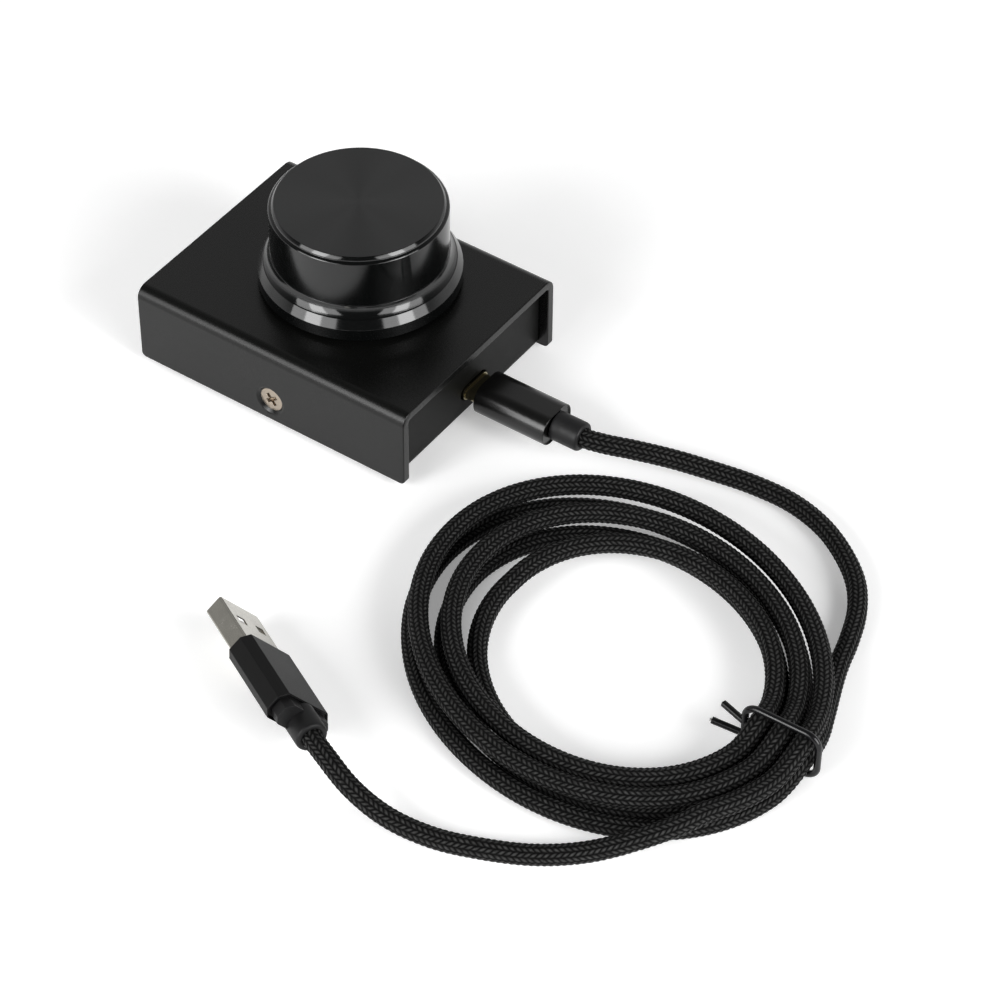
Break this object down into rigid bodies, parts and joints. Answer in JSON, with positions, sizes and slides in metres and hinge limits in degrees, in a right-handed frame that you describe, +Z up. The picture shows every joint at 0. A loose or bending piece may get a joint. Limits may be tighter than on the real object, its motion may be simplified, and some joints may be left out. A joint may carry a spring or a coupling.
{
  "type": "desk volume knob",
  "caption": "Folded sheet-metal desk box with one large turn-and-press knob, and a detachable braided data lead coiled beside it.",
  "frame": {"origin": "middle of the case's footprint on the desk, under the rubber feet; the lead and what is on it aren't counted", "axes": "+Z is up; +X is the end with the cord socket; -Y is the side whose cover screw the picture shows"},
  "size_m": [0.1881, 0.1372, 0.042],
  "materials": {
    "cover_paint": "fine satin black coating",
    "chassis_paint": "fine satin black coating",
    "nickel": "bright nickel plating",
    "foot_rubber": "matte black",
    "board_laminate": "green solder mask",
    "chip_resin": "matte black moulding",
    "chip_ceramic": "tan ceramic with tinned ends",
    "tin_plate": "bright tinned steel",
    "contact_resin": "black moulding",
    "gold_plate": "gold-coloured plating",
    "encoder_resin": "matte black moulding",
    "white_resin": "natural white moulding",
    "spring_steel": "bright spring steel",
    "turned_metal": "fine turned",
    "knob_black": "black anodised: polished sides, spin-finished top",
    "black_steel": "black oxide",
    "plug_black": "half-gloss black moulding",
    "soft_black": "soft matte black",
    "black_braid": "tight black nylon braid",
    "tie_sleeve": "glossy black sleeve",
    "bright_wire": "bright drawn wire",
    "black_aluminium": "satin black anodised"
  },
  "bodies": {
    "case": {"cover": "cover_paint", "chassis": "chassis_paint", "cover_screws": "nickel", "rubber_feet": "foot_rubber", "circuit_board": "board_laminate", "board_standoffs": "nickel", "board_screws": "nickel", "controller_chip": "chip_resin", "clock_crystal": "tin_plate", "voltage_regulator": "chip_resin", "small_chip_parts": "chip_ceramic", "socket_shell": "tin_plate", "socket_tongue": "contact_resin", "socket_contacts": "gold_plate", "encoder_base": "encoder_resin", "encoder_frame": "tin_plate", "encoder_terminals": "tin_plate", "click_spring": "spring_steel", "switch_dome": "spring_steel"},
    "plunger": {"switch_plunger": "white_resin"},
    "knob": {"knob": "knob_black", "knob_set_screw": "black_steel", "encoder_shaft": "turned_metal"},
    "rotor": {"click_rotor": "white_resin"},
    "lead": {"plug_tip": "tin_plate", "plug_tip_core": "contact_resin", "plug_body": "plug_black", "plug_collar": "soft_black", "cord_lead": "black_braid", "cord_coil": "black_braid", "cord_tail": "black_braid", "tie_wire": "tie_sleeve", "tie_wire_core": "bright_wire", "flat_plug_shell": "nickel", "flat_plug_tongue": "white_resin", "flat_plug_contacts": "gold_plate", "flat_plug_grip": "black_aluminium", "flat_plug_taper": "soft_black"}
  },
  "joints": [
    {"name": "knob_press", "type": "slide", "parent": "case", "child": "plunger", "axis": [0, 0, -1], "range_m": [0, 0.0005], "stiffness_N_per_m": 6000, "springref_m": -0.0005, "deforming": ["switch_dome"]},
    {"name": "knob_turn", "type": "hinge", "parent": "plunger", "child": "knob", "pos_m": [0.0012, 0.0039, 0.02], "axis": [0, 0, -1], "continuous": true},
    {"name": "rotor_turn", "type": "hinge", "parent": "case", "child": "rotor", "pos_m": [0.0012, 0.0039, 0.01], "axis": [0, 0, -1], "continuous": true},
    {"name": "plug_pull", "type": "slide", "parent": "case", "child": "lead", "axis": [1, 0, 0], "range_m": [0, 0.0065]}
  ],
  "couplings": [
    {"joint": "rotor_turn", "follows": "knob_turn", "ratio": 1}
  ]
}
